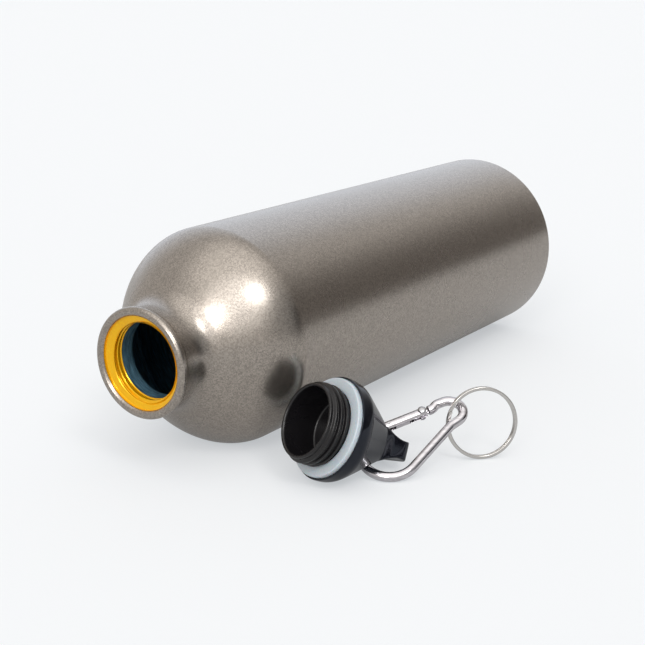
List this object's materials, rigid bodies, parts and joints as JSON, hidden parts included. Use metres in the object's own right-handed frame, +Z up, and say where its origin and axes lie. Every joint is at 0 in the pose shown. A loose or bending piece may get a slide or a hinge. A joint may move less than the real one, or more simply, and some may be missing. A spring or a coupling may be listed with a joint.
{
  "type": "aluminium sports bottle",
  "caption": "Lying aluminium sports bottle with its screw cap off, a spring-gate carabiner through the cap's loop and a split key ring.",
  "frame": {"origin": "centre of the bottle's mouth, in the plane of the rolled lip; the floor it lies on is 36.5 mm below", "axes": "+X along the bottle from the mouth to the base, +Z up, +Y away from the loose cap"},
  "size_m": [0.223, 0.1261, 0.073],
  "materials": {
    "shell_paint": "satin metallic champagne grey outside, golden lacquer in the neck",
    "gloss_black": "glossy black",
    "matte_black": "matte black",
    "silicone": "pale translucent silicone",
    "polished_wire": "bright polished",
    "plain_steel": "bright drawn",
    "nickel": "nickel plated"
  },
  "bodies": {
    "bottle": {"bottle_shell": "shell_paint"},
    "cap": {"cap_cover": "gloss_black", "cap_plug": "matte_black", "cap_gasket": "silicone"},
    "carabiner": {"carabiner_frame": "polished_wire"},
    "gate": {"carabiner_gate": "polished_wire", "gate_rivet": "plain_steel", "gate_catch_pin": "plain_steel", "gate_spring": "plain_steel", "gate_plunger": "plain_steel"},
    "key_ring": {"split_ring": "nickel"}
  },
  "joints": [
    {"name": "cap_lift", "type": "slide", "parent": "bottle", "child": "cap", "axis": [0, -0.5, 0.866], "range_m": [0, 0.12]},
    {"name": "clip_slide_round", "type": "hinge", "parent": "cap", "child": "carabiner", "pos_m": [0.0458, -0.0624, -0.0299], "axis": [-0.477, -0.2575, 0.8404], "range_deg": [0, 15]},
    {"name": "gate_hinge", "type": "hinge", "parent": "carabiner", "child": "gate", "pos_m": [0.06214, -0.06456, -0.02129], "axis": [-0.477, -0.2575, 0.8404], "range_deg": [0, 13], "stiffness_Nm_per_rad": 0.01, "springref_deg": -34.38},
    {"name": "ring_swing", "type": "hinge", "parent": "carabiner", "child": "key_ring", "pos_m": [0.06625, -0.07234, -0.02134], "axis": [0.3045, -0.1243, 0.9444], "range_deg": [-40, 40]}
  ]
}
